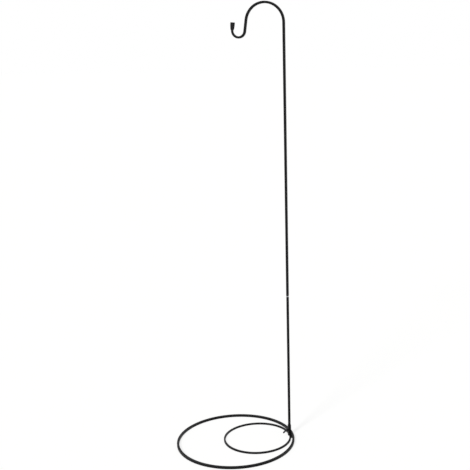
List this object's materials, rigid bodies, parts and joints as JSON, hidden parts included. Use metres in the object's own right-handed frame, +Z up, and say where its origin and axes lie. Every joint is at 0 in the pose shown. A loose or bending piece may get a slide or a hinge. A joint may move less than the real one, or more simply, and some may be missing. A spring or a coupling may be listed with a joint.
{
  "type": "hanging plant stand",
  "caption": "Floor stand of square bar: a slim pole on two joined flat rings, bent over at the top into an arch with a small upturned hook for a hanging pot.",
  "frame": {"origin": "centre of the outer ring, on the floor", "axes": "+Z up along the pole, +X from the outer ring's centre towards the pole"},
  "size_m": [0.4199, 0.42, 1.53],
  "materials": {
    "powder_coat": "black powder coat, satin",
    "weld_coat": "black powder coat over a rippled weld bead",
    "black_screw": "black passivated zinc, satin",
    "zinc_plate": "bright zinc plate",
    "black_cap": "moulded soft vinyl, matt"
  },
  "bodies": {
    "base": {"outer_ring": "powder_coat", "inner_ring": "powder_coat", "pole_socket": "powder_coat", "weld_beads": "weld_coat", "socket_nut": "powder_coat"},
    "lower_section": {"lower_pole": "powder_coat", "joining_stud": "zinc_plate"},
    "spacer": {"spacer_ring": "zinc_plate"},
    "upper_section": {"upper_pole": "powder_coat", "tip_cap": "black_cap"},
    "screw": {"clamp_screw": "black_screw"},
    "wings": {"screw_wings": "black_screw"}
  },
  "joints": [
    {"name": "lower_lift", "type": "slide", "parent": "base", "child": "lower_section", "axis": [0, 0, 1], "range_m": [0, 0.045]},
    {"name": "upper_turn", "type": "hinge", "parent": "lower_section", "child": "spacer", "pos_m": [0.1964, 0, 0.5255], "axis": [0, 0, 1], "range_deg": [0, 5400]},
    {"name": "upper_rise", "type": "slide", "parent": "spacer", "child": "upper_section", "axis": [0, 0, 1], "range_m": [0, 0.012]},
    {"name": "screw_advance", "type": "slide", "parent": "base", "child": "screw", "axis": [-1, 0, 0], "range_m": [0, 0.0053]},
    {"name": "screw_turn", "type": "hinge", "parent": "screw", "child": "wings", "pos_m": [0.18421, 0, 0.02], "axis": [-1, 0, 0], "range_deg": [0, 2385]}
  ],
  "couplings": [
    {"joint": "upper_rise", "follows": "upper_turn", "m_per_rad": 0.00012732},
    {"joint": "screw_advance", "follows": "screw_turn", "m_per_rad": 0.00012732}
  ]
}
